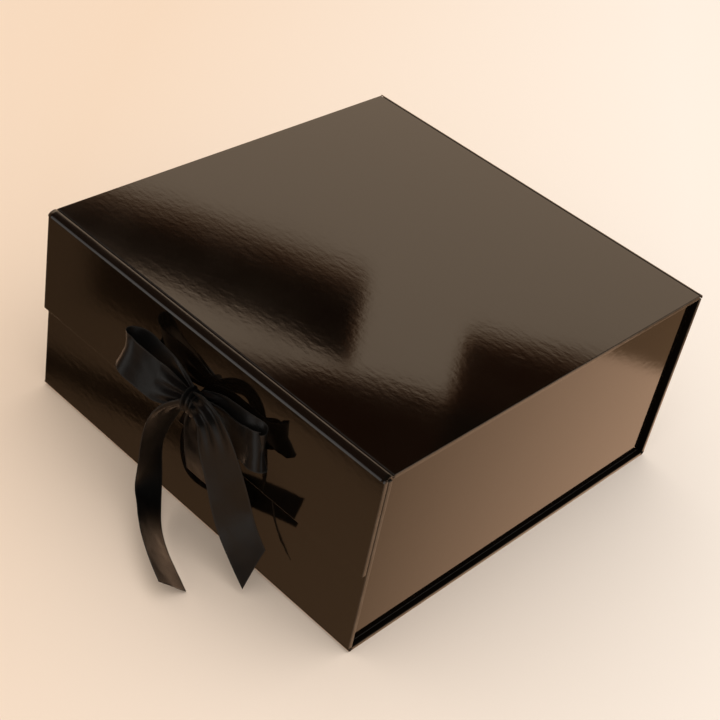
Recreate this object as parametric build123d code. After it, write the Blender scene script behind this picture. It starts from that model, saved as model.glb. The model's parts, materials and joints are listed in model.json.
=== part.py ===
from build123d import *
from math import pi, sin
import os

# Book-style rigid gift box with a magnetic front flap, set-back fold-in side walls and a ribbon bow.
# Millimetres. X runs to the right seen from the front, Y runs to the back, Z runs up.
# The origin is the centre of the base's underside.

# Driving dimensions
CASE_WIDTH = 250.0
CASE_DEPTH = 255.0
CASE_HEIGHT = 120.0
WRAP = 0.3            # gloss paper with its glue
BOARD = 2.0           # greyboard
LINER = 0.3           # inside sheet
PANEL = WRAP + BOARD + LINER
EDGE_RADIUS = 0.5     # how round the paper-wrapped board edges are
FIT_GAP = 0.4         # between panels that move past each other
LID_GAP = 0.3         # under the closed lid
SIDE_SETBACK = 3.0    # the case's panels stand this far past the side walls
LINER_INSET = 3.0     # border of gloss wrap left showing round a liner
LEDGE_LINER_INSET = 6.0    # the liner stops short of the side walls' ledge
FLAP_BOTTOM_Z = 56.5
FLAP_TOP_Z = 118.0
LID_FRONT_OVERHANG = 2.9    # from the lid's front edge to the front wall's outer face

DISC_RADIUS = 6.0
DISC_POCKET_RADIUS = 6.1
DISC_X = 70.0
DISC_Z = 70.0

RIBBON_X = 8.0        # middle of the ribbon
RIBBON_WIDTH = 20.0
RIBBON_THICKNESS = 0.5
SLIT_WIDTH = 21.0
SLIT_HEIGHT = 1.0
FRONT_SLIT_Z = 29.0
FLAP_SLIT_Z = 78.0
TAB_HEIGHT = 20.0     # glued length of ribbon behind each slit
TAB_DEPTH = 0.6
TAB_CLEARANCE = 0.5
RIBBON_STEPS = 36         # straight steps in each length of ribbon
KNOT_RIBBON_WIDTH = 8.0   # the ribbon's squeezed width at the knot
LOOP_GATHER = 20.0        # a loop reaches its full width this far from the knot
TAIL_GATHER = 42.0        # and the right tail this far
LEFT_TAIL_CUT = -5.0      # how slanting the tails' cut ends are
RIGHT_TAIL_CUT = 14.5
KNOT_WIDTH = 9.0
KNOT_DEPTH = 8.0
KNOT_HEIGHT = 11.0
KNOT_ROUNDING = 2.5
KNOT_CENTRE = (7.5, 11.0, 86.0)    # x, out from the front wall, height

EAR_WIDTH = 18.0
EAR_THICKNESS = 0.35
EAR_TAPE = 0.15
EAR_OFF_WALL = 0.3    # the ear's tape stays this far off the wall that it sticks to
EAR_ROOT_GAP = 0.5    # from the side wall's inner face to the ear
EAR_FOOT_GAP = 0.5    # from the fold line up to the ear's foot
EAR_TOP_GAP = 2.0     # from the ear's top down from the wall's top
TAPE_BORDER = 2.0     # of bare ear round its tape
SIDE_FOLD_Z = 3.8     # height of the side walls' fold line
SIDE_HINGE_THICKNESS = 0.2
SIDE_HINGE_REACH = 0.4    # of the hinge strip past the side wall's inner face

# Derived positions
HALF_X = CASE_WIDTH / 2
HALF_Y = CASE_DEPTH / 2
FRONT_FACE_Y = -HALF_Y
FRONT_INNER_Y = FRONT_FACE_Y + PANEL
BACK_INNER_Y = HALF_Y - PANEL
LID_UNDER_Z = CASE_HEIGHT - PANEL
WALL_TOP_Z = LID_UNDER_Z - LID_GAP
FLAP_INNER_Y = FRONT_FACE_Y - FIT_GAP
FLAP_OUTER_Y = FLAP_INNER_Y - PANEL
SIDE_OUTER_X = HALF_X - SIDE_SETBACK
SIDE_INNER_X = SIDE_OUTER_X - PANEL
SIDE_END_Y = BACK_INNER_Y - FIT_GAP

os.makedirs("parts", exist_ok=True)


def save(name, shape):
    """Write one node."""
    export_step(shape, f"parts/{name}.step")


def block(x, y, z):
    """A box from three (low, high) pairs."""
    size = [pair[1] - pair[0] for pair in (x, y, z)]
    middle = [(pair[0] + pair[1]) / 2 for pair in (x, y, z)]
    return Pos(*middle) * Box(*size)


def shrunk(pair, low, high):
    """A (low, high) pair pulled in at each end."""
    return (pair[0] + low, pair[1] - high)


def panel(x, y, z, inner_axis, inner_side, inset):
    """A wrapped board: returns (board, wrap, liner).

    inner_axis is the axis (0, 1 or 2) across the panel, inner_side is +1 or -1 for the side of the
    panel that faces into the box, and inset is the liner's border along each of the three axes.
    """
    pairs = [x, y, z]
    board_pairs = [shrunk(pair, WRAP, WRAP) for pair in pairs]
    liner_pairs = [shrunk(pair, border, border) for pair, border in zip(pairs, inset)]
    low, high = pairs[inner_axis]
    if inner_side > 0:
        liner_pairs[inner_axis] = (high - LINER, high)
    else:
        liner_pairs[inner_axis] = (low, low + LINER)
    board = block(*board_pairs)
    liner = block(*liner_pairs)
    outside = block(x, y, z)
    outside = fillet(outside.edges(), EDGE_RADIUS)
    wrap = outside - board - liner
    return board, wrap, liner


def disc_pocket(x, y):
    """The round cut through a board for a magnet or a steel disc."""
    return Pos(x, y, DISC_Z) * Rot(90, 0, 0) * Cylinder(DISC_POCKET_RADIUS, 2 * PANEL)


def disc(x, y):
    """A magnet or a steel disc, as thick as the board that holds it."""
    return Pos(x, y, DISC_Z) * Rot(90, 0, 0) * Cylinder(DISC_RADIUS, BOARD)


def ribbon_slit(y, z):
    """The slot through which a ribbon leaves a panel."""
    half = SLIT_WIDTH / 2
    return block(
        (RIBBON_X - half, RIBBON_X + half),
        y,
        (z - SLIT_HEIGHT / 2, z + SLIT_HEIGHT / 2),
    )


def tab_recess(inner_y, z):
    """The shallow recess in a board's inner side for the ribbon's glued end."""
    half = SLIT_WIDTH / 2
    return block(
        (RIBBON_X - half, RIBBON_X + half),
        (inner_y - TAB_DEPTH, inner_y),
        (z - SLIT_HEIGHT / 2, z + TAB_HEIGHT + TAB_CLEARANCE),
    )


def ribbon_tab(outer_y, inner_y, z):
    """The ribbon's glued end: it comes in through the slit and turns up inside the board."""
    half = RIBBON_WIDTH / 2
    across = (RIBBON_X - half, RIBBON_X + half)
    through = block(across, (outer_y, inner_y), (z - RIBBON_THICKNESS / 2, z + RIBBON_THICKNESS / 2))
    turned = block(
        across,
        (inner_y - RIBBON_THICKNESS, inner_y),
        (z - RIBBON_THICKNESS / 2, z + TAB_HEIGHT),
    )
    return through + turned


def front_point(x, out, z):
    """A point given by its distance out from the front wall's outer face."""
    return Vector(x, FRONT_FACE_Y - out, z)


def front_direction(x, out, z):
    """A unit direction given the same way."""
    return Vector(x, -out, z).normalized()


def triangles(a, b, c, d):
    """The two flat faces of a four-cornered patch."""
    return [make_face(Polyline(a, b, c, close=True)), make_face(Polyline(a, c, d, close=True))]


def gathered_width(from_knot, gather):
    """The ribbon is squeezed where the knot holds it and spreads to its full width beyond."""
    spread = min(from_knot / gather, 1.0)
    return KNOT_RIBBON_WIDTH + (RIBBON_WIDTH - KNOT_RIBBON_WIDTH) * sin(spread * pi / 2)


def facing_at(facings, t):
    """The direction across the ribbon at share t of its length, from (share, direction) pairs."""
    for (start, before), (end, after) in zip(facings, facings[1:]):
        if t <= end:
            share = (t - start) / (end - start)
            return front_direction(*before) * (1 - share) + front_direction(*after) * share
    return front_direction(*facings[-1][1])


def ribbon(route, facings, knot_at_start=False, knot_at_end=False, gather=LOOP_GATHER, end_cut=0.0):
    """A length of ribbon along a smooth route of (x, out, z) points.

    The facings are (share, direction) pairs that give the direction across the ribbon along its
    length. end_cut is how far the near selvage runs on past the far one at the end.
    """
    line = Spline(*[front_point(*point) for point in route])
    sections = []
    for i in range(RIBBON_STEPS + 1):
        t = i / RIBBON_STEPS
        width = RIBBON_WIDTH
        if knot_at_start:
            width = min(width, gathered_width(line.length * t, gather))
        if knot_at_end:
            width = min(width, gathered_width(line.length * (1 - t), gather))
        along = line % t
        across = facing_at(facings, t)
        across = (across - along * across.dot(along)).normalized() * (width / 2)
        normal = along.cross(across).normalized() * (RIBBON_THICKNESS / 2)
        skew = along * (end_cut / 2 if i == RIBBON_STEPS else 0.0)
        near = line @ t - across + skew
        far = line @ t + across - skew
        sections.append([near - normal, far - normal, far + normal, near + normal])
    faces = triangles(*sections[0]) + triangles(*sections[-1])
    for near, far in zip(sections, sections[1:]):
        for i in range(4):
            j = (i + 1) % 4
            faces += triangles(near[i], near[j], far[j], far[i])
    return Solid(Shell([piece.face() for piece in faces]))


def case_panels():
    """Base, front wall and back wall, with the ribbon slit and the disc pockets in the front wall."""
    full_x = (-HALF_X, HALF_X)
    walls_z = (PANEL, WALL_TOP_Z)
    ledge = LEDGE_LINER_INSET

    board, wrap, liner = panel(
        full_x, (FRONT_INNER_Y, BACK_INNER_Y), (0, PANEL), 2, 1, (ledge, LINER_INSET, 0)
    )
    save("base_board", board)
    save("base_wrap", wrap)
    save("base_liner", liner)

    front_y = (FRONT_FACE_Y, FRONT_INNER_Y)
    board, wrap, liner = panel(full_x, front_y, walls_z, 1, 1, (ledge, 0, LINER_INSET))
    board_inner_y = FRONT_INNER_Y - LINER
    board -= ribbon_slit(front_y, FRONT_SLIT_Z)
    board -= tab_recess(board_inner_y, FRONT_SLIT_Z)
    wrap -= ribbon_slit((FRONT_FACE_Y - 1, FRONT_FACE_Y + WRAP), FRONT_SLIT_Z)
    board_middle_y = FRONT_FACE_Y + WRAP + BOARD / 2
    for name, x in (("left", -DISC_X), ("right", DISC_X)):
        board -= disc_pocket(x, board_middle_y)
        save(f"steel_disc_{name}", disc(x, board_middle_y))
    save("front_wall_board", board)
    save("front_wall_wrap", wrap)
    save("front_wall_liner", liner)
    save("front_ribbon_tab", ribbon_tab(FRONT_FACE_Y, board_inner_y, FRONT_SLIT_Z))

    back_y = (BACK_INNER_Y, HALF_Y)
    board, wrap, liner = panel(full_x, back_y, walls_z, 1, -1, (ledge, 0, LINER_INSET))
    save("back_wall_board", board)
    save("back_wall_wrap", wrap)
    save("back_wall_liner", liner)


def lid_panel():
    """The lid lies over the walls and stops short of the flap."""
    y = (FRONT_FACE_Y + LID_FRONT_OVERHANG, BACK_INNER_Y)
    z = (LID_UNDER_Z, CASE_HEIGHT)
    board, wrap, liner = panel((-HALF_X, HALF_X), y, z, 2, -1, (LINER_INSET, LINER_INSET, 0))
    save("lid_board", board)
    save("lid_wrap", wrap)
    save("lid_liner", liner)


def flap_panel():
    """The flap hangs in front of the front wall and holds the magnets and a ribbon slit."""
    y = (FLAP_OUTER_Y, FLAP_INNER_Y)
    z = (FLAP_BOTTOM_Z, FLAP_TOP_Z)
    board, wrap, liner = panel((-HALF_X, HALF_X), y, z, 1, 1, (LINER_INSET, 0, LINER_INSET))
    board_inner_y = FLAP_INNER_Y - LINER
    board -= ribbon_slit(y, FLAP_SLIT_Z)
    board -= tab_recess(board_inner_y, FLAP_SLIT_Z)
    wrap -= ribbon_slit((FLAP_OUTER_Y - 1, FLAP_OUTER_Y + WRAP), FLAP_SLIT_Z)
    board_middle_y = FLAP_OUTER_Y + WRAP + BOARD / 2
    for name, x in (("left", -DISC_X), ("right", DISC_X)):
        board -= disc_pocket(x, board_middle_y)
        save(f"magnet_{name}", disc(x, board_middle_y))
    save("flap_board", board)
    save("flap_wrap", wrap)
    save("flap_liner", liner)
    save("flap_ribbon_tab", ribbon_tab(FLAP_OUTER_Y, board_inner_y, FLAP_SLIT_Z))


def corner_strip(y, z, quadrant):
    """A quarter-round paper hinge, one panel in radius, about an edge along X."""
    ring = Circle(PANEL) - Circle(PANEL - WRAP)
    quarter = ring & (Pos(PANEL * quadrant[0], PANEL * quadrant[1]) * Rectangle(2 * PANEL, 2 * PANEL))
    across = Plane(origin=(-HALF_X, y, z), x_dir=(0, 1, 0), z_dir=(1, 0, 0))
    return extrude(across * quarter, CASE_WIDTH)


def flap_hinge_strip():
    """The paper between lid and flap: it dips behind the lid's edge and rolls over the flap's edge."""
    lid_edge_y = FRONT_FACE_Y + LID_FRONT_OVERHANG
    outer = [
        (lid_edge_y, CASE_HEIGHT),
        (lid_edge_y - 0.9, CASE_HEIGHT - 0.6),
        (lid_edge_y - 2.0, CASE_HEIGHT - 0.8),
        (lid_edge_y - 3.2, CASE_HEIGHT - 0.4),
        (lid_edge_y - 4.4, CASE_HEIGHT - 0.15),
        (lid_edge_y - 5.4, CASE_HEIGHT - 0.7),
        (FLAP_OUTER_Y, FLAP_TOP_Z),
    ]
    inner = [
        (lid_edge_y, CASE_HEIGHT - WRAP),
        (lid_edge_y - 0.85, CASE_HEIGHT - 0.6 - WRAP),
        (lid_edge_y - 2.0, CASE_HEIGHT - 0.8 - WRAP),
        (lid_edge_y - 3.2, CASE_HEIGHT - 0.4 - WRAP),
        (lid_edge_y - 4.3, CASE_HEIGHT - 0.15 - WRAP),
        (lid_edge_y - 5.15, CASE_HEIGHT - 0.9),
        (FLAP_OUTER_Y + WRAP, FLAP_TOP_Z),
    ]
    across = Plane(origin=(-HALF_X, 0, 0), x_dir=(0, 1, 0), z_dir=(1, 0, 0))
    outline = make_face(Polyline(*outer, *reversed(inner), close=True))
    return extrude(across * outline, CASE_WIDTH)


def paper_hinges():
    """The bare paper at the four edges where the case folds."""
    save("base_front_hinge", corner_strip(FRONT_INNER_Y, PANEL, (-1, -1)))
    save("base_back_hinge", corner_strip(BACK_INNER_Y, PANEL, (1, -1)))
    save("back_hinge", corner_strip(BACK_INNER_Y, LID_UNDER_Z, (1, 1)))
    save("flap_hinge", flap_hinge_strip())


def side_walls():
    """Two side walls with their paper hinge strips and their glue ears."""
    ear_root = SIDE_INNER_X - EAR_ROOT_GAP
    ear_foot_z = SIDE_FOLD_Z + EAR_FOOT_GAP
    ear_top_z = WALL_TOP_Z - EAR_TOP_GAP
    for name, side in (("left", -1), ("right", 1)):
        x = sorted((side * SIDE_INNER_X, side * SIDE_OUTER_X))
        board, wrap, liner = panel(
            x,
            (-SIDE_END_Y, SIDE_END_Y),
            (PANEL + LID_GAP, WALL_TOP_Z),
            0,
            -side,
            (0, LINER_INSET, LINER_INSET),
        )
        save(f"side_{name}_board", board)
        save(f"side_{name}_wrap", wrap)
        save(f"side_{name}_liner", liner)

        hinge_x = sorted((side * (SIDE_INNER_X - SIDE_HINGE_REACH), side * SIDE_OUTER_X))
        hinge = block(hinge_x, (-SIDE_END_Y, SIDE_END_Y), (PANEL, PANEL + SIDE_HINGE_THICKNESS))
        save(f"side_{name}_hinge", hinge)

        for end, toward in (("front", -1), ("back", 1)):
            tape_y = toward * (BACK_INNER_Y - EAR_OFF_WALL)
            seam_y = tape_y - toward * EAR_TAPE
            ear_y = seam_y - toward * EAR_THICKNESS
            outline = [
                (side * ear_root, ear_foot_z),
                (side * (ear_root - EAR_WIDTH), ear_foot_z + EAR_WIDTH),
                (side * (ear_root - EAR_WIDTH), ear_top_z - EAR_WIDTH / 2),
                (side * ear_root, ear_top_z),
            ]
            border = TAPE_BORDER
            tape_outline = [
                (side * (ear_root - border), ear_foot_z + 2.5 * border),
                (side * (ear_root - EAR_WIDTH + border), ear_foot_z + EAR_WIDTH + border / 2),
                (side * (ear_root - EAR_WIDTH + border), ear_top_z - EAR_WIDTH / 2 - border / 2),
                (side * (ear_root - border), ear_top_z - 1.5 * border),
            ]
            save(f"ear_{end}_{name}", upright_sheet(outline, ear_y, seam_y))
            save(f"ear_tape_{end}_{name}", upright_sheet(tape_outline, seam_y, tape_y))


def upright_sheet(outline, y_a, y_b):
    """A flat sheet with an (x, z) outline, between two values of y."""
    low, high = sorted((y_a, y_b))
    across = Plane(origin=(0, low, 0), x_dir=(1, 0, 0), z_dir=(0, -1, 0))
    face = make_face(Polyline(*outline, close=True))
    return extrude(across * face, -(high - low))


def bow():
    """The tied ribbon: two loops, two tails, the knot, and the ribbon from each slit up to it."""
    upright = (0.1, 0, -1)
    level = [(0, (1, 0, 0)), (1, (1, 0, 0))]
    save(
        "bow_loop_left",
        ribbon(
            [
                (1.5, 12.5, 88), (-4, 15, 87.5), (-15, 17, 87), (-28, 18.5, 88.5), (-38, 18.5, 91),
                (-41, 15.5, 92), (-38, 11.5, 92), (-26, 9, 91), (-12, 8.5, 90), (1.5, 9, 89),
            ],
            [(0, (0.1, 0.4, -0.9)), (0.45, (0, 0.36, -0.93)), (1, upright)],
            knot_at_start=True,
            knot_at_end=True,
        ),
    )
    save(
        "bow_loop_right",
        ribbon(
            [
                (13.5, 9.9, 85), (20, 9, 83.5), (33, 9, 82.5), (46, 11, 85.5), (55, 13, 89.5),
                (58, 11.5, 90.5), (55.5, 8.5, 90.5), (46, 7, 90), (30, 6.5, 89), (13.5, 7.6, 88.6),
            ],
            [(0, (0.1, 0.1, -1)), (0.3, (0.05, 0.05, -1)), (0.5, (0.35, 0.3, -0.87)), (1, upright)],
            knot_at_start=True,
            knot_at_end=True,
        ),
    )
    save(
        "bow_tail_left",
        ribbon(
            [
                (1.5, 13.2, 82), (-3, 14.5, 77.5), (-10, 15.5, 62), (-14, 16, 39), (-9, 19, 15),
                (4, 28, 9), (21, 37, 8), (42, 45.3, 7.6),
            ],
            [
                (0, (0.1, -0.9, -0.4)), (0.15, (0.1, -1, -0.15)), (0.38, (-0.2, -1, 0)),
                (0.66, (0.25, -0.66, -0.7)), (1, (0.25, -0.75, -0.63)),
            ],
            knot_at_start=True,
            end_cut=LEFT_TAIL_CUT,
        ),
    )
    save(
        "bow_tail_right",
        ribbon(
            [
                (13.5, 15.8, 91), (20, 17.5, 92), (26, 18, 89.5), (33.5, 17.5, 77), (41, 16, 60),
                (49.5, 12.5, 34.5), (66, 11.3, 15.5),
            ],
            [
                (0, (0, -0.3, 0.95)), (0.2, (0.6, -0.3, 0.75)), (0.45, (0.5, -0.4, 0.7)),
                (0.7, (0.5, -0.6, 0.65)), (1, (0.5, -0.6, 0.65)),
            ],
            knot_at_start=True,
            gather=TAIL_GATHER,
            end_cut=RIGHT_TAIL_CUT,
        ),
    )
    save(
        "front_ribbon_strap",
        ribbon(
            [
                (RIBBON_X, 0.6, FRONT_SLIT_Z), (RIBBON_X, 4, 45), (RIBBON_X, 6.5, 62),
                (RIBBON_X, 8.5, 79),
            ],
            level,
            knot_at_end=True,
        ),
    )
    flap_out = FRONT_FACE_Y - FLAP_OUTER_Y
    save(
        "flap_ribbon_riser",
        ribbon(
            [(RIBBON_X, flap_out + 0.6, FLAP_SLIT_Z), (RIBBON_X, 4.8, 81), (RIBBON_X, 6, 85)],
            level,
            knot_at_end=True,
        ),
    )
    knot = fillet(Box(KNOT_WIDTH, KNOT_DEPTH, KNOT_HEIGHT).edges(), KNOT_ROUNDING)
    save("bow_knot", Pos(*front_point(*KNOT_CENTRE)) * knot)


case_panels()
lid_panel()
flap_panel()
paper_hinges()
side_walls()
bow()
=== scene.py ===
import json
from math import cos, pi, radians, sin, sqrt

import bpy
import numpy as np
from mathutils import Matrix, Vector, noise

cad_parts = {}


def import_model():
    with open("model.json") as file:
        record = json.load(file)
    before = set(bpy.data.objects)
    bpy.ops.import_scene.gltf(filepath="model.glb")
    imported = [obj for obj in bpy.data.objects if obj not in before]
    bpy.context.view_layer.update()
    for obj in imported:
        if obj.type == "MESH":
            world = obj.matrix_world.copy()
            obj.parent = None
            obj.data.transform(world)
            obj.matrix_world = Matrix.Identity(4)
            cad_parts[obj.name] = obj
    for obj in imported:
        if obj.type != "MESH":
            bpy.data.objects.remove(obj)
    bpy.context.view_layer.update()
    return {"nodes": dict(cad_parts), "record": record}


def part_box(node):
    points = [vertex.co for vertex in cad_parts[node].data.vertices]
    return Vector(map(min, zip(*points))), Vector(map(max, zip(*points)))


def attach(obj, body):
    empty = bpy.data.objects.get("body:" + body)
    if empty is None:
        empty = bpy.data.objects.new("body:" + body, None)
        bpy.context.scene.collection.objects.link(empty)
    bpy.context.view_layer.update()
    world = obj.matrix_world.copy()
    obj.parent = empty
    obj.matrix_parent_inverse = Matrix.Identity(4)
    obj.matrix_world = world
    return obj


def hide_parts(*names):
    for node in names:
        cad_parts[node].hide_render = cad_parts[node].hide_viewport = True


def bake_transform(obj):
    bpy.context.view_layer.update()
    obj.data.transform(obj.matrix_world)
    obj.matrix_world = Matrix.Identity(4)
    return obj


# A black gloss gift box with a satin ribbon bow, in metres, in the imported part's own frame.

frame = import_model()

MM = 0.001

# Camera
CAMERA_AZIMUTH = radians(37.22)
CAMERA_ELEVATION = radians(37.66)
CAMERA_ROLL = radians(12.06)
CAMERA_DISTANCE = 0.8541
CAMERA_AIM = Vector((0.0029, -0.0070, 0.0505))
CAMERA_LENS = 75.6

# Paper
PAPER = 0.3 * MM
HINGE_INSET = 0.1 * MM        # the hinges stop short of the lid's ends
HINGE_STEPS_ALONG = 100
HINGE_STEPS_ACROSS = 36

INNER_FACES = {"base_wrap": (2, 1), "front_wall_wrap": (1, 1), "back_wall_wrap": (1, -1)}

# Ribbon
RIBBON_WIDTH = 20.0           # millimetres, as every length in a ribbon's route
RIBBON_THICKNESS = 0.24
SELVAGE_WIDTH = 0.7
SELVAGE_EXTRA = 0.14          # how much thicker the woven selvage is
KNOT_RIBBON_WIDTH = 8.0
LOOP_GATHER = 20.0            # how far from the knot a loop reaches its full width
TAIL_GATHER = 42.0
PLEATS = 2.5
RIBBON_MID_X = 8.0
FLAP_STANDS_OUT = 3.0         # the flap's face in front of the front wall's face
FRONT_SLIT_Z = 29.0
FLAP_SLIT_Z = 78.0

# Studio; tones are (level, linear colour) pairs, from dark to bright
KEY_AZIMUTH, KEY_ELEVATION = -65.0, 72.0
KEY_DISTANCE = 1.9
KEY_SIZE = (1.8, 1.8)
KEY_POWER = 8.0
KEY_COLOUR = (1.0, 0.98, 0.97)
AMBIENT_COLOUR = (1.0, 0.89, 0.77, 1.0)
AMBIENT_STRENGTH = 1.0
ABOVE_STRENGTH = 1.05
BELOW_STRENGTH = 1.5
ABOVE_TONES = [
    (0.0, (0, 0, 0)),
    (0.3, (0.09, 0.021, 0.004)),
    (0.6, (0.37, 0.20, 0.10)),
    (1.0, (1.0, 0.74, 0.52)),
]
BELOW_TONES = [
    (0.0, (0, 0, 0)),
    (0.2, (0.03, 0.014, 0.006)),
    (0.55, (0.27, 0.15, 0.075)),
    (1.0, (1.0, 0.62, 0.39)),
]
BANNER_COLOUR = (0.66, 0.62, 0.58)
FLOOR_HALF_SIZE = 3.0
FLOOR_STEPS = 40
# Painted light: the floor's colour at the dimmer left and at the brighter, whiter right
FLOOR_DIMMER_LEFT_COLOUR = (0.84, 0.705, 0.59)
FLOOR_LIT_RIGHT_COLOUR = (0.893, 0.86, 0.835)

FRONT_FACE_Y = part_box("front_wall_wrap")[0][1]
FLAP_LOW, FLAP_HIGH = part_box("flap_wrap")
LID_LOW, LID_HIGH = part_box("lid_wrap")
BACK_LOW, BACK_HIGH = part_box("back_wall_wrap")


# Shader helpers

class Shader:
    """A material's node tree, with short calls for the nodes used here."""

    def __init__(self, name):
        self.material = bpy.data.materials.new(name)
        self.material.use_nodes = True
        self.tree = self.material.node_tree
        self.surface = self.tree.nodes["Principled BSDF"]
        self.place = self.node("ShaderNodeTexCoord").outputs["Object"]

    def node(self, kind, **settings):
        made = self.tree.nodes.new(kind)
        for name, value in settings.items():
            setattr(made, name, value)
        return made

    def link(self, source, target):
        self.tree.links.new(source, target)

    def feed(self, socket, value):
        if isinstance(value, bpy.types.NodeSocket):
            self.link(value, socket)
        else:
            socket.default_value = value

    def math(self, operation, a, b=0.0, clamp=False):
        made = self.node("ShaderNodeMath", operation=operation, use_clamp=clamp)
        self.feed(made.inputs[0], a)
        self.feed(made.inputs[1], b)
        return made.outputs[0]

    def stretched(self, scale, place=None):
        made = self.node("ShaderNodeMapping")
        self.link(place or self.place, made.inputs["Vector"])
        made.inputs["Scale"].default_value = scale
        return made.outputs[0]

    def noise(self, scale, detail=3.0, place=None, roughness=0.5):
        made = self.node("ShaderNodeTexNoise")
        self.link(place or self.place, made.inputs["Vector"])
        made.inputs["Scale"].default_value = scale
        made.inputs["Detail"].default_value = detail
        made.inputs["Roughness"].default_value = roughness
        return made.outputs["Fac"]

    def spread(self, value, low, high, to_low, to_high, smooth=False):
        made = self.node("ShaderNodeMapRange")
        made.interpolation_type = "SMOOTHSTEP" if smooth else "LINEAR"
        self.feed(made.inputs["Value"], value)
        limits = {"From Min": low, "From Max": high, "To Min": to_low, "To Max": to_high}
        for name, number in limits.items():
            made.inputs[name].default_value = number
        return made.outputs["Result"]

    def mix_colour(self, share, a, b):
        made = self.node("ShaderNodeMix", data_type="RGBA")
        self.feed(made.inputs["Factor"], share)
        for name, value in (("A", a), ("B", b)):
            sockets = [s for s in made.inputs if s.name == name and s.type == "RGBA"]
            if isinstance(value, tuple):
                sockets[0].default_value = (*value, 1.0)
            else:
                self.link(value, sockets[0])
        return [s for s in made.outputs if s.type == "RGBA"][0]

    def bump(self, height, distance, strength=1.0, before=None):
        made = self.node("ShaderNodeBump")
        self.link(height, made.inputs["Height"])
        made.inputs["Distance"].default_value = distance
        made.inputs["Strength"].default_value = strength
        if before is not None:
            self.link(before, made.inputs["Normal"])
        return made.outputs["Normal"]

    def set(self, name, value):
        self.feed(self.surface.inputs[name], value)


def edge_mask(shader, low, high, reach):
    """1 on a panel's outer edges, falling to 0 a short way in, from the panel's own corners."""
    sizes = [high[i] - low[i] for i in range(3)]
    in_plane = sorted(range(3), key=lambda i: sizes[i])[1:]
    split = shader.node("ShaderNodeSeparateXYZ")
    shader.link(shader.place, split.inputs[0])
    nearest = None
    for i in in_plane:
        from_low = shader.math("SUBTRACT", split.outputs[i], low[i])
        from_high = shader.math("SUBTRACT", high[i], split.outputs[i])
        both = shader.math("MINIMUM", from_low, from_high)
        nearest = both if nearest is None else shader.math("MINIMUM", nearest, both)
    return shader.spread(nearest, 0.0, reach, 1.0, 0.0)


def inner_mask(shader, low, high, axis, side):
    """1 on the face of a panel that looks into the box, falling to 0 just below its surface."""
    split = shader.node("ShaderNodeSeparateXYZ")
    shader.link(shader.place, split.inputs[0])
    if side > 0:
        depth = shader.math("SUBTRACT", high[axis], split.outputs[axis])
    else:
        depth = shader.math("SUBTRACT", split.outputs[axis], low[axis])
    return shader.spread(depth, 0.1 * MM, 0.5 * MM, 1.0, 0.0)


def gloss_paper(name, low=None, high=None, inner=None, strained=0.0):
    """Black paper with a mirror-gloss film: a faint orange peel, hazy patches and rubbed edges.

    inner is the (axis, side) of a face that looks into the box, where the film is scuffed dull.
    strained is how much duller bending has made the film.
    """
    shader = Shader(name)
    haze = shader.noise(14.0, 4.0, roughness=0.6)
    rub = shader.noise(120.0, 3.0)
    colour = shader.mix_colour(haze, (0.0020, 0.0013, 0.0008), (0.0033, 0.0024, 0.0016))
    shine = shader.spread(haze, 0.3, 0.7, 0.040 + strained, 0.065 + strained)
    if low is not None:
        worn = edge_mask(shader, low, high, 0.55 * MM)
        worn = shader.math("MULTIPLY", worn, shader.spread(rub, 0.35, 0.65, 0.35, 1.0))
        colour = shader.mix_colour(worn, colour, (0.022, 0.020, 0.018))
        shine = shader.math("ADD", shine, shader.math("MULTIPLY", worn, 0.15))
    if inner is not None:
        dull = inner_mask(shader, low, high, *inner)
        shine = shader.math("ADD", shine, shader.math("MULTIPLY", dull, 0.45), clamp=True)
        shader.set("Specular IOR Level", shader.spread(dull, 0.0, 1.0, 0.5, 0.03))
    shader.set("Base Color", colour)
    shader.set("Roughness", shine)
    shader.set("IOR", 1.72)
    peel = shader.noise(300.0, 2.0, shader.stretched((0.55, 1.0, 1.0)))
    fine = shader.noise(1100.0, 2.0, shader.stretched((0.7, 1.0, 1.0)))
    wave = shader.noise(22.0, 1.0)
    normal = shader.bump(wave, 0.00003)
    normal = shader.bump(peel, 0.0000095, before=normal)
    normal = shader.bump(fine, 0.0000018, before=normal)
    shader.set("Normal", normal)
    return shader.material


def liner_paper(name):
    """Matte black inside sheet with paper fibres."""
    shader = Shader(name)
    fibre = shader.noise(700.0, 5.0, shader.stretched((1.0, 0.3, 1.0)))
    cloud = shader.noise(30.0, 4.0)
    shader.set("Base Color", shader.mix_colour(cloud, (0.018, 0.018, 0.019), (0.030, 0.030, 0.032)))
    shader.set("Roughness", shader.spread(fibre, 0.3, 0.7, 0.68, 0.86))
    shader.set("Normal", shader.bump(fibre, 0.00004))
    return shader.material


def greyboard(name):
    """Recycled grey board, flecked."""
    shader = Shader(name)
    fleck = shader.noise(900.0, 6.0, roughness=0.7)
    cloud = shader.noise(45.0, 3.0)
    base = shader.mix_colour(cloud, (0.33, 0.32, 0.30), (0.42, 0.41, 0.385))
    dark = shader.spread(fleck, 0.62, 0.7, 0.0, 0.6)
    shader.set("Base Color", shader.mix_colour(dark, base, (0.16, 0.15, 0.14)))
    shader.set("Roughness", 0.92)
    shader.set("Normal", shader.bump(fleck, 0.00006))
    return shader.material


def tape(name):
    """The glue ears' adhesive tape under its off-white release paper, faintly ribbed."""
    shader = Shader(name)
    cloud = shader.noise(60.0, 3.0)
    ribs = shader.noise(500.0, 2.0, shader.stretched((1.0, 1.0, 0.2)))
    shader.set("Base Color", shader.mix_colour(cloud, (0.70, 0.68, 0.62), (0.80, 0.78, 0.73)))
    shader.set("Roughness", shader.spread(ribs, 0.3, 0.7, 0.32, 0.5))
    shader.set("Normal", shader.bump(ribs, 0.00002))
    return shader.material


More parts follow.
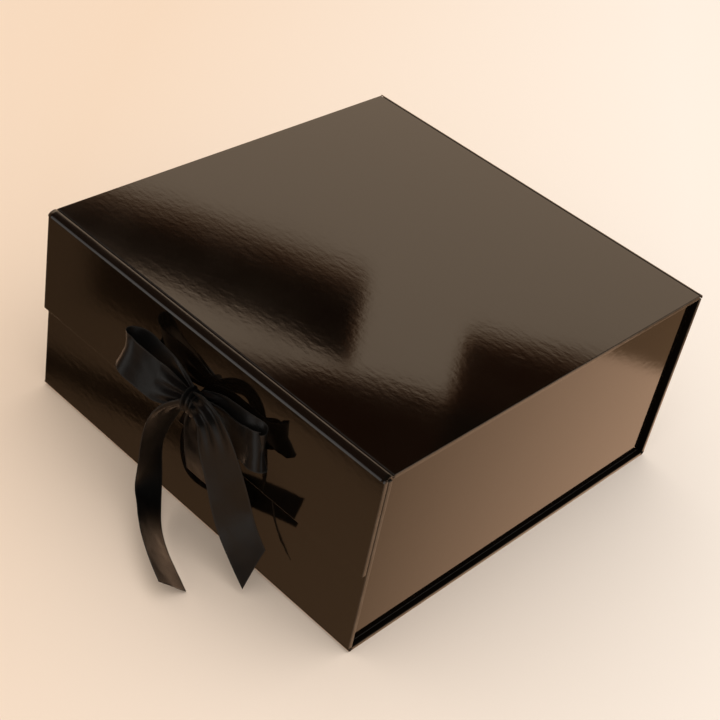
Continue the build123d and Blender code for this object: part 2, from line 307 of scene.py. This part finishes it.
def plated_metal(name, light, dark, grain):
    """Plated magnet or cut steel disc with a turned grain and small scuffs."""
    shader = Shader(name)
    lines = shader.noise(grain, 4.0, shader.stretched((1.0, 1.0, 0.08)))
    scuffs = shader.noise(400.0, 4.0)
    shader.set("Base Color", shader.mix_colour(scuffs, dark, light))
    shader.set("Metallic", 1.0)
    shader.set("Roughness", shader.spread(lines, 0.3, 0.7, 0.22, 0.42))
    shader.set("Normal", shader.bump(lines, 0.00001))
    return shader.material


def satin(name):
    """Black satin: warp floats run along the ribbon, and the selvages are woven tighter and duller;
    their lighter colour is painted sheen along the edges.
    """
    shader = Shader(name)
    uv = shader.node("ShaderNodeUVMap", uv_map="ribbon")
    split = shader.node("ShaderNodeSeparateXYZ")
    shader.link(uv.outputs[0], split.inputs[0])
    across, along = split.outputs[0], split.outputs[1]
    from_edge = shader.math("SUBTRACT", RIBBON_WIDTH / 2, shader.math("ABSOLUTE", across))
    selvage_and_sheen = shader.spread(from_edge, SELVAGE_WIDTH * 0.8, SELVAGE_WIDTH * 1.2, 1.0, 0.0)
    floats = shader.noise(7.0, 2.0, shader.stretched((1.0, 0.06, 1.0), uv.outputs[0]))
    picks = shader.math("SINE", shader.math("MULTIPLY", along, 2 * pi / 0.45))
    slubs = shader.noise(0.5, 3.0, shader.stretched((1.0, 0.2, 1.0), uv.outputs[0]))
    base = shader.mix_colour(slubs, (0.0016, 0.0016, 0.0017), (0.0034, 0.0034, 0.0035))
    # Painted sheen: the selvages get a lighter base colour, standing in for the shine along the
    # ribbon's edges.
    shader.set("Base Color", shader.mix_colour(selvage_and_sheen, base, (0.010, 0.010, 0.010)))
    shine = shader.spread(floats, 0.25, 0.75, 0.30, 0.40)
    shine = shader.math("ADD", shine, shader.math("MULTIPLY", selvage_and_sheen, 0.15))
    shader.set("Roughness", shine)
    shader.set("IOR", 1.5)
    shader.set("Specular IOR Level", 0.32)
    shader.set("Anisotropic", 0.55)
    shader.set("Sheen Weight", 0.008)
    shader.set("Sheen Roughness", 0.4)
    tangent = shader.node("ShaderNodeTangent", direction_type="UV_MAP", uv_map="ribbon")
    shader.set("Tangent", tangent.outputs[0])
    pick_height = shader.spread(selvage_and_sheen, 0, 1, 0.05, 0.4)
    weave = shader.math("ADD", floats, shader.math("MULTIPLY", picks, pick_height))
    shader.set("Normal", shader.bump(weave, 0.000035))
    return shader.material


# Meshes

def mesh_object(name, points, faces, material, uvs=None):
    """A smooth-shaded mesh; uvs holds one (across, along) pair for each point."""
    mesh = bpy.data.meshes.new(name)
    mesh.from_pydata([tuple(p) for p in points], [], faces)
    mesh.validate()
    mesh.polygons.foreach_set("use_smooth", [True] * len(mesh.polygons))
    if uvs is not None:
        layer = mesh.uv_layers.new(name="ribbon")
        for loop in mesh.loops:
            layer.data[loop.index].uv = uvs[loop.vertex_index]
    mesh.materials.append(material)
    mesh.update()
    made = bpy.data.objects.new(name, mesh)
    bpy.context.scene.collection.objects.link(made)
    return made


def two_sided_grid(rows, columns):
    """Faces of a closed sheet whose points are a front grid followed by a back grid."""
    back = rows * columns
    faces = []
    for i in range(rows - 1):
        for j in range(columns - 1):
            a = i * columns + j
            b, c, d = a + 1, a + columns + 1, a + columns
            faces.append((a, b, c, d))
            faces.append((back + d, back + c, back + b, back + a))
    for i in range(rows - 1):
        for j in (0, columns - 1):
            a, d = i * columns + j, (i + 1) * columns + j
            side = (a, d, back + d, back + a)
            faces.append(side if j == 0 else side[::-1])
    for j in range(columns - 1):
        for i in (0, rows - 1):
            a, b = i * columns + j, i * columns + j + 1
            side = (b, a, back + a, back + b)
            faces.append(side if i == 0 else side[::-1])
    return faces


def smooth_line(points, samples=600):
    """A natural cubic spline through the points: its places at even lengths, and its length."""
    points = np.array(points, float)
    knots = np.concatenate([[0.0], np.cumsum(np.linalg.norm(np.diff(points, axis=0), axis=1))])
    steps = np.diff(knots)
    count = len(points)
    system = np.eye(count)
    right = np.zeros_like(points)
    for i in range(1, count - 1):
        system[i, i - 1] = steps[i - 1]
        system[i, i] = 2 * (steps[i - 1] + steps[i])
        system[i, i + 1] = steps[i]
        after = (points[i + 1] - points[i]) / steps[i]
        before = (points[i] - points[i - 1]) / steps[i - 1]
        right[i] = 6 * (after - before)
    bend = np.linalg.solve(system, right)
    places = []
    for t in np.linspace(0, knots[-1], samples):
        i = min(max(int(np.searchsorted(knots, t)) - 1, 0), count - 2)
        h = steps[i]
        a, b = (knots[i + 1] - t) / h, (t - knots[i]) / h
        curve = ((a ** 3 - a) * bend[i] + (b ** 3 - b) * bend[i + 1]) * h * h / 6
        places.append(a * points[i] + b * points[i + 1] + curve)
    places = np.array(places)
    lengths = np.concatenate([[0.0], np.cumsum(np.linalg.norm(np.diff(places, axis=0), axis=1))])
    even = np.linspace(0, lengths[-1], samples)
    line = np.stack([np.interp(even, lengths, places[:, k]) for k in range(3)], axis=1)
    return line, float(lengths[-1])


def unit(vector):
    return vector / np.linalg.norm(vector)


def gathered_width(from_knot, gather):
    """The ribbon is squeezed where the knot holds it and spreads to its full width beyond."""
    spread = min(max(from_knot, 0.0) / gather, 1.0)
    return KNOT_RIBBON_WIDTH + (RIBBON_WIDTH - KNOT_RIBBON_WIDTH) * sin(spread * pi / 2)


def blended_facing(facings, t):
    """The direction across the ribbon at share t, from (share, direction) pairs."""
    for (t0, a), (t1, b) in zip(facings, facings[1:]):
        if t <= t1:
            k = min(max((t - t0) / (t1 - t0), 0.0), 1.0)
            k = k * k * (3 - 2 * k)
            return unit(np.array(a, float)) * (1 - k) + unit(np.array(b, float)) * k
    return np.array(facings[-1][1], float)


def ribbon(name, route, facings, material, body="flap", knots=(), cut=0.0, camber=0.0,
           wrinkle=0.25, seed=1.0, gathered=False, gather=LOOP_GATHER,
           rows=150, columns=27):
    """A woven ribbon along a route of (x, out, z) millimetres, out being in front of the front wall.

    knots names the ends ("start", "end") that a knot gathers into pleats, cut slants the far end,
    and camber bows the ribbon across its width.
    """
    line, length = smooth_line(route)
    along_all = np.gradient(line, axis=0)
    shares = np.linspace(0, 1, len(line))
    places = {"front": [], "back": []}
    uvs = []
    for i in range(rows):
        for j in range(columns):
            w = -cos(pi * j / (columns - 1)) / 2
            end = 1.0 - cut / length * (0.5 + w)
            t = i / (rows - 1) * end
            s = t * length
            middle = np.array([np.interp(t, shares, line[:, k]) for k in range(3)])
            along = unit(np.array([np.interp(t, shares, along_all[:, k]) for k in range(3)]))
            across = blended_facing(facings, t)
            across = unit(across - along * across.dot(along))
            normal = np.cross(along, across)
            wide = KNOT_RIBBON_WIDTH if gathered else RIBBON_WIDTH
            if "start" in knots:
                wide = min(wide, gathered_width(s, gather))
            if "end" in knots:
                wide = min(wide, gathered_width(length - s, gather))
            squeezed = max(RIBBON_WIDTH / wide - 1.0, 0.0)
            pleat = wide / (pi * PLEATS) * sqrt(squeezed) * sin(2 * pi * PLEATS * w + seed)
            pleat *= 1.0 - 0.25 * abs(w)
            ripple = noise.noise(Vector((w * 2.2 + seed * 7.3, s * 0.055, seed))) * wrinkle
            ripple += noise.noise(Vector((w * 5.0, s * 0.16 + seed * 3.1, seed))) * wrinkle * 0.35
            rise = pleat + ripple - camber * (2 * w) ** 2
            from_edge = (0.5 - abs(w)) * RIBBON_WIDTH
            half = RIBBON_THICKNESS / 2
            if from_edge < SELVAGE_WIDTH:
                half += SELVAGE_EXTRA / 2 * sin(pi * min(from_edge / SELVAGE_WIDTH + 0.3, 1.0))
            centre = middle + across * (w * wide) + normal * rise
            places["front"].append(centre + normal * half)
            places["back"].append(centre - normal * half)
            uvs.append((w * RIBBON_WIDTH, s))
    points = [
        (p[0] * MM, FRONT_FACE_Y - p[1] * MM, p[2] * MM)
        for p in places["front"] + places["back"]
    ]
    made = mesh_object(name, points, two_sided_grid(rows, columns), material, uvs * 2)
    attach(made, body)
    return made, length


def hinge_paper(name, profile, low_x, high_x, material, wander):
    """A strip of bare paper along X with an outer profile of (y, z) places in metres."""
    line, _ = smooth_line([(0.0, y, z) for y, z in profile])
    shares = np.linspace(0, 1, len(line))
    slopes = np.gradient(line, axis=0)
    rows, columns = HINGE_STEPS_ALONG + 1, HINGE_STEPS_ACROSS + 1
    outer, inner = [], []
    for i in range(rows):
        x = low_x + (high_x - low_x) * i / (rows - 1)
        for j in range(columns):
            t = j / (columns - 1)
            y, z = (float(np.interp(t, shares, line[:, k])) for k in (1, 2))
            slope = unit(np.array([np.interp(t, shares, slopes[:, k]) for k in (1, 2)]))
            normal = np.array([-slope[1], slope[0]])
            free = sin(pi * t)
            stray = noise.noise(Vector((x * 38.0, t * 1.5, 3.0))) * wander * free
            outer.append((x, y + normal[0] * stray, z + normal[1] * stray))
            inner.append((x, y + normal[0] * (stray - PAPER), z + normal[1] * (stray - PAPER)))
    made = mesh_object(name, outer + inner, two_sided_grid(rows, columns), material)
    return made


# The box

def dress_cad():
    """Each CAD node keeps its shape and gets its own procedural material."""
    shared = {
        "liner_paper": liner_paper("liner_paper"),
        "greyboard": greyboard("greyboard"),
        "tape": tape("tape"),
        "magnet": plated_metal("magnet_plating", (0.72, 0.72, 0.74), (0.55, 0.55, 0.57), 600.0),
        "steel": plated_metal("cut_steel", (0.60, 0.60, 0.61), (0.42, 0.42, 0.43), 350.0),
    }
    slots = {part["node"]: part["material_slot"] for part in frame["record"]["subparts"]}
    for node, piece in frame["nodes"].items():
        slot = slots[node]
        if slot == "satin_ribbon":
            continue
        if slot == "gloss_paper":
            low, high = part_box(node)
            material = gloss_paper(f"gloss_{node}", low, high, INNER_FACES.get(node))
        else:
            material = shared[slot]
        piece.data.materials.clear()
        piece.data.materials.append(material)


def flap_hinge(material):
    """The paper over the gap from lid to flap: a shallow groove, then a soft roll over the edge."""
    lid_edge, lid_top = LID_LOW[1], LID_HIGH[2]
    flap_face, flap_top = FLAP_LOW[1], FLAP_HIGH[2]
    groove_and_roll = [(0.1, 0.45), (-0.5, 0.9), (-1.1, 0.5), (-1.9, 0.3), (-3.0, 0.4), (-4.2, 0.8)]
    profile = [(lid_edge + out * MM, lid_top - down * MM) for out, down in groove_and_roll]
    profile.append((flap_face + 0.65 * MM, flap_top + 0.5 * MM))
    profile.append((flap_face, flap_top - 0.7 * MM))
    low_x, high_x = hinge_ends()
    made = hinge_paper("flap_hinge_paper", profile, low_x, high_x, material, 0.12 * MM)
    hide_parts("flap_hinge")
    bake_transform(made)


def back_hinge(material):
    """The paper from the back wall round to the lid's top."""
    wall_y, wall_z = BACK_HIGH[1], LID_LOW[2]
    lid_top = LID_HIGH[2]
    radius = lid_top - wall_z
    turns = [radians(a) for a in (-5, 15, 35, 55, 75, 92)]
    centre_y = wall_y - radius
    profile = [(centre_y + radius * cos(a), wall_z + radius * sin(a)) for a in turns]
    low_x, high_x = hinge_ends()
    made = hinge_paper("back_hinge_paper", profile, low_x, high_x, material, 0.02 * MM)
    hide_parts("back_hinge")
    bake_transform(made)


def hinge_ends():
    return LID_LOW[0] + HINGE_INSET, LID_HIGH[0] - HINGE_INSET


def hinges():
    """The two paper hinges: lid to flap, and back wall to lid."""
    material = gloss_paper("gloss_hinges", strained=0.16)
    flap_hinge(material)
    back_hinge(material)


UPRIGHT = (0.1, 0, -1)
LEVEL = (1, 0, 0)


def sheet(node):
    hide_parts(node)


def loops(material):
    loop, length = ribbon(
        "loop_left",
        [
            (4, 12.5, 88), (-4, 15, 87.5), (-15, 17, 87), (-28, 18.5, 88.5), (-38, 18.5, 91),
            (-41, 15.5, 92), (-38, 11.5, 92), (-26, 9, 91), (-12, 8.5, 90), (4, 9, 89),
        ],
        [(0, (0.1, 0.4, -0.9)), (0.45, (0, 0.36, -0.93)), (1, UPRIGHT)],
        material, knots=("start", "end"), seed=1.3,
    )
    sheet("bow_loop_left")
    loop, length = ribbon(
        "loop_right",
        [
            (8, 11, 87), (20, 9, 83.5), (33, 9, 82.5), (46, 11, 85.5), (55, 13, 89.5),
            (58, 11.5, 90.5), (55.5, 8.5, 90.5), (46, 7, 90), (30, 6.5, 89), (8, 7.5, 88.5),
        ],
        [(0, (0.1, 0.1, -1)), (0.3, (0.05, 0.05, -1)), (0.5, (0.35, 0.3, -0.87)), (1, UPRIGHT)],
        material, knots=("start", "end"), seed=2.1,
    )
    sheet("bow_loop_right")


def tails(material):
    tail, length = ribbon(
        "tail_left",
        [
            (4, 12.5, 85), (-3, 14.5, 78), (-10, 15.5, 62), (-14, 16, 39), (-9, 19, 15),
            (4, 28, 9), (21, 37, 8), (44, 46, 7.5),
        ],
        [
            (0, (0.1, -0.9, -0.4)), (0.15, (0.1, -1, -0.15)), (0.38, (-0.2, -1, 0)),
            (0.66, (0.25, -0.66, -0.7)), (1, (0.25, -0.75, -0.63)),
        ],
        material, knots=("start",), seed=3.7, cut=-5.0,
    )
    sheet("bow_tail_left")
    tail, length = ribbon(
        "tail_right",
        [
            (7, 12, 88), (13, 15.5, 91), (20, 17.5, 92), (26, 18, 89.5), (33.5, 17.5, 77),
            (41, 16, 60), (49.5, 12.5, 34.5), (70, 11, 10.5),
        ],
        [
            (0, (0, -0.3, 0.95)), (0.22, (0.6, -0.3, 0.75)), (0.45, (0.5, -0.4, 0.7)),
            (0.7, (0.5, -0.6, 0.65)), (1, (0.5, -0.6, 0.65)),
        ],
        material, knots=("start",), gather=TAIL_GATHER, seed=4.2, cut=14.5,
    )
    sheet("bow_tail_right")


def strap_and_riser(material):
    """The ribbon from the front wall's slit and from the flap's slit, up to the knot."""
    route = [(0.5, FRONT_SLIT_Z), (4, 45), (6.5, 62), (8.5, 82)]
    strap, length = ribbon(
        "front_strap",
        [(RIBBON_MID_X, out, z) for out, z in route],
        [(0, LEVEL), (1, LEVEL)],
        material, knots=("end",), seed=5.0,
    )
    sheet("front_ribbon_strap")
    route = [(FLAP_STANDS_OUT + 0.4, FLAP_SLIT_Z), (4.8, 81), (6, 85), (8, 89)]
    riser, length = ribbon(
        "flap_riser",
        [(RIBBON_MID_X, out, z) for out, z in route],
        [(0, LEVEL), (1, LEVEL)],
        material, knots=("end",), seed=5.6, rows=40,
    )
    sheet("flap_ribbon_riser")


def knot(material):
    made, length = ribbon(
        "knot",
        [
            (7.5, 7.2, 88), (7.5, 9, 91.2), (7.5, 12.5, 91), (7.7, 15, 87.5), (7.7, 15, 83.5),
            (7.5, 12.5, 80), (7.5, 9, 79.8), (7.5, 6.9, 83), (7.5, 7.6, 89),
        ],
        [(0, LEVEL), (1, LEVEL)],
        material, seed=0.4, camber=0.9, rows=110, columns=33, wrinkle=0.5, gathered=True,
    )
    sheet("bow_knot")


def tab(name, body, node, face_out, z, inside, material):
    """The ribbon's glued end: in through a slit, then up the board's inner side."""
    route = [(face_out + 0.2, 0), (inside + 0.8, 0), (inside, 1.2), (inside, 10), (inside, 20)]
    made, length = ribbon(
        name,
        [(RIBBON_MID_X, out, z + up) for out, up in route],
        [(0, LEVEL), (1, LEVEL)],
        material, body=body, wrinkle=0.0, rows=50,
    )
    sheet(node)


def bow():
    """The tied ribbon. Every route and facing is in (x, out, z)."""
    material = satin("black_satin")
    loops(material)
    tails(material)
    strap_and_riser(material)
    knot(material)
    tab("front_tab", "root", "front_ribbon_tab", 0.0, FRONT_SLIT_Z, -2.05, material)
    tab("flap_tab", "flap", "flap_ribbon_tab", FLAP_STANDS_OUT, FLAP_SLIT_Z, 0.95, material)


# The studio

def camera():
    data = bpy.data.cameras.new("camera")
    data.lens = CAMERA_LENS
    data.sensor_width = 36.0
    data.clip_start = 0.01
    made = bpy.data.objects.new("camera", data)
    turn = Matrix.Rotation(CAMERA_AZIMUTH, 3, "Z")
    turn = turn @ Matrix.Rotation(pi / 2 - CAMERA_ELEVATION, 3, "X")
    turn = turn @ Matrix.Rotation(CAMERA_ROLL, 3, "Z")
    place = CAMERA_AIM + turn @ Vector((0, 0, CAMERA_DISTANCE))
    made.matrix_world = Matrix.Translation(place) @ turn.to_4x4()
    bpy.context.scene.collection.objects.link(made)
    bpy.context.scene.camera = made


def key_light():
    """A softbox high at the right, which reflections don't see."""
    data = bpy.data.lights.new("key_softbox", "AREA")
    data.shape = "RECTANGLE"
    data.size, data.size_y = KEY_SIZE
    data.energy = KEY_POWER
    data.color = KEY_COLOUR
    made = bpy.data.objects.new("key_softbox", data)
    az, el = radians(KEY_AZIMUTH), radians(KEY_ELEVATION)
    away = Vector((-sin(az) * cos(el), cos(az) * cos(el), sin(el)))
    made.location = away * KEY_DISTANCE + Vector((0, 0, LID_HIGH[2] / 2))
    made.rotation_euler = away.to_track_quat("Z", "Y").to_euler()
    made.visible_glossy = False
    bpy.context.scene.collection.objects.link(made)


def floor_paper():
    """Pale backdrop paper with a painted light gradient: lighter and whiter towards the right of the
    picture, as if more light falls there.
    """
    shader = Shader("pale_floor")
    grain = shader.noise(900.0, 3.0)
    split = shader.node("ShaderNodeSeparateXYZ")
    shader.link(shader.place, split.inputs[0])
    along_x = shader.math("MULTIPLY", split.outputs[0], 0.8)
    along_y = shader.math("MULTIPLY", split.outputs[1], 0.6)
    rightward = shader.math("ADD", along_x, along_y)
    cloud = shader.noise(1.2, 2.0)
    cloud = shader.math("ADD", rightward, shader.math("MULTIPLY", cloud, 0.06))
    # Painted light: the floor's colour brightens and whitens towards the right instead of being evenly
    # lit.
    painted_light_share = shader.spread(cloud, -0.20, 0.24, 0.0, 1.0)
    shader.set("Base Color", shader.mix_colour(painted_light_share, FLOOR_DIMMER_LEFT_COLOUR, FLOOR_LIT_RIGHT_COLOUR))
    shader.set("Roughness", 0.9)
    shader.set("Specular IOR Level", 0.0)
    shader.set("Normal", shader.bump(grain, 0.00003))
    return shader.material


def floor():
    size, steps = FLOOR_HALF_SIZE, FLOOR_STEPS
    points, faces = [], []
    for i in range(steps + 1):
        for j in range(steps + 1):
            points.append((-size + 2 * size * i / steps, -size + 2 * size * j / steps, 0.0))
    for i in range(steps):
        for j in range(steps):
            a = i * (steps + 1) + j
            faces.append((a, a + steps + 1, a + steps + 2, a + 1))
    made = mesh_object("floor", points, faces, floor_paper())
    made.visible_glossy = False


class Sky(Shader):
    """The studio all round, by direction: azimuth 0 is the back and 90 the left, in degrees."""

    def __init__(self, name):
        self.world = bpy.data.worlds.new(name)
        self.world.use_nodes = True
        self.tree = self.world.node_tree
        split = self.node("ShaderNodeSeparateXYZ")
        self.link(self.node("ShaderNodeTexCoord").outputs["Generated"], split.inputs[0])
        x, y, z = split.outputs
        turn = self.math("ARCTAN2", self.math("MULTIPLY", x, -1.0), y)
        self.azimuth = self.math("MULTIPLY", turn, 180 / pi)
        self.elevation = self.math("MULTIPLY", self.math("ARCSINE", z), 180 / pi)

    def leaning(self, pivot, slope):
        """Elevation measured from a line that rises by slope for each degree of azimuth."""
        lean = self.math("MULTIPLY", self.math("SUBTRACT", self.azimuth, pivot), slope)
        return self.math("SUBTRACT", self.elevation, lean)

    def past(self, value, start, end):
        """0 before start and 1 after end."""
        return self.spread(value, start, end, 0.0, 1.0, smooth=True)

    def until(self, value, start, end):
        return self.spread(value, start, end, 1.0, 0.0, smooth=True)

    def all_of(self, *masks):
        made = masks[0]
        for mask in masks[1:]:
            made = self.math("MULTIPLY", made, mask)
        return made

    def without(self, level, mask, depth=1.0):
        return self.math("MULTIPLY", level, self.spread(mask, 0.0, 1.0, 1.0, 1.0 - depth))

    def tones(self, level, stops):
        ramp = self.node("ShaderNodeValToRGB")
        self.link(level, ramp.inputs[0])
        bands = ramp.color_ramp.elements
        while len(bands) < len(stops):
            bands.new(0.5)
        for band, (place, colour) in zip(bands, stops):
            band.position = place
            band.color = (*colour, 1.0)
        return ramp.outputs["Color"]

    def above(self):
        """A pale wall under a dark ceiling, with two dark screens in front of it."""
        azimuth = self.azimuth
        wall = self.all_of(
            self.until(self.elevation, 37.9, 39.0),
            self.past(azimuth, -95.0, -60.0),
            self.until(azimuth, 75.0, 110.0),
        )
        left_screen = self.all_of(
            self.past(self.leaning(44.0, -0.15), 32.9, 34.7),
            self.until(self.leaning(44.0, -0.22), 36.25, 36.75),
            self.past(azimuth, 37.2, 38.2),
        )
        right_screen = self.all_of(
            self.past(self.leaning(30.0, 0.05), 35.0, 36.3),
            self.until(azimuth, 32.0, 33.1),
        )
        level = self.math("MAXIMUM", wall, 0.11)
        return self.without(self.without(level, left_screen, 0.97), right_screen, 0.88)

    def below(self):
        """Pale ground at the right and behind; in front it is darker, with two darker streaks."""
        azimuth, elevation = self.azimuth, self.elevation
        in_front = self.all_of(self.past(azimuth, 80.0, 110.0), self.until(azimuth, 165.0, 178.0))
        line = self.leaning(128.0, -0.34)
        high_streak = self.all_of(self.past(line, -36.6, -35.7), self.past(azimuth, 129.0, 130.6))
        low_streak = self.all_of(
            self.past(line, -40.0, -39.3),
            self.until(line, -38.9, -38.5),
            self.until(azimuth, 134.0, 141.0),
        )
        ground = self.spread(azimuth, 124.0, 146.0, 0.32, 0.50)
        ground = self.without(self.without(ground, high_streak, 0.6), low_streak, 0.75)
        pale = self.spread(azimuth, -36.0, -22.0, 0.62, 1.0)
        shade = self.all_of(
            self.past(elevation, -35.3, -34.5),
            self.until(azimuth, 5.0, 20.0),
            self.past(azimuth, -45.0, -35.0),
        )
        pale = self.without(pale, shade, 0.45)
        return self.math(
            "ADD",
            self.math("MULTIPLY", ground, in_front),
            self.without(pale, in_front),
        )

    def banners(self):
        """Two pale uprights in front, which only the ribbon is turned to mirror."""
        azimuth, elevation = self.azimuth, self.elevation
        left = self.all_of(self.past(azimuth, 132.0, 138.0), self.until(azimuth, 156.0, 163.0))
        right = self.all_of(self.past(azimuth, -152.0, -146.0), self.until(azimuth, -124.0, -118.0))
        tall = self.all_of(self.past(elevation, -27.0, -20.0), self.until(elevation, 20.0, 30.0))
        return self.all_of(self.math("MAXIMUM", left, right), tall)


def world():
    """Plain warm light for everything but reflections, which see the studio by direction."""
    sky = Sky("studio")
    is_above = sky.past(sky.elevation, -3.0, 3.0)
    high = sky.tones(sky.above(), ABOVE_TONES)
    low = sky.tones(sky.below(), BELOW_TONES)
    seen = sky.node("ShaderNodeBackground")
    all_round = sky.mix_colour(is_above, low, high)
    sky.link(sky.mix_colour(sky.banners(), all_round, BANNER_COLOUR), seen.inputs["Color"])
    sky.feed(seen.inputs["Strength"], sky.spread(is_above, 0.0, 1.0, BELOW_STRENGTH, ABOVE_STRENGTH))
    plain = sky.node("ShaderNodeBackground")
    plain.inputs["Color"].default_value = AMBIENT_COLOUR
    plain.inputs["Strength"].default_value = AMBIENT_STRENGTH
    mix = sky.node("ShaderNodeMixShader")
    sky.link(sky.node("ShaderNodeLightPath").outputs["Is Glossy Ray"], mix.inputs[0])
    sky.link(plain.outputs[0], mix.inputs[1])
    sky.link(seen.outputs[0], mix.inputs[2])
    output = next(n for n in sky.tree.nodes if n.type == "OUTPUT_WORLD")
    sky.link(mix.outputs[0], output.inputs["Surface"])
    bpy.context.scene.world = sky.world


def studio():
    camera()
    world()
    floor()
    key_light()
    bpy.context.scene.view_settings.view_transform = "Standard"


dress_cad()
hinges()
bow()
studio()
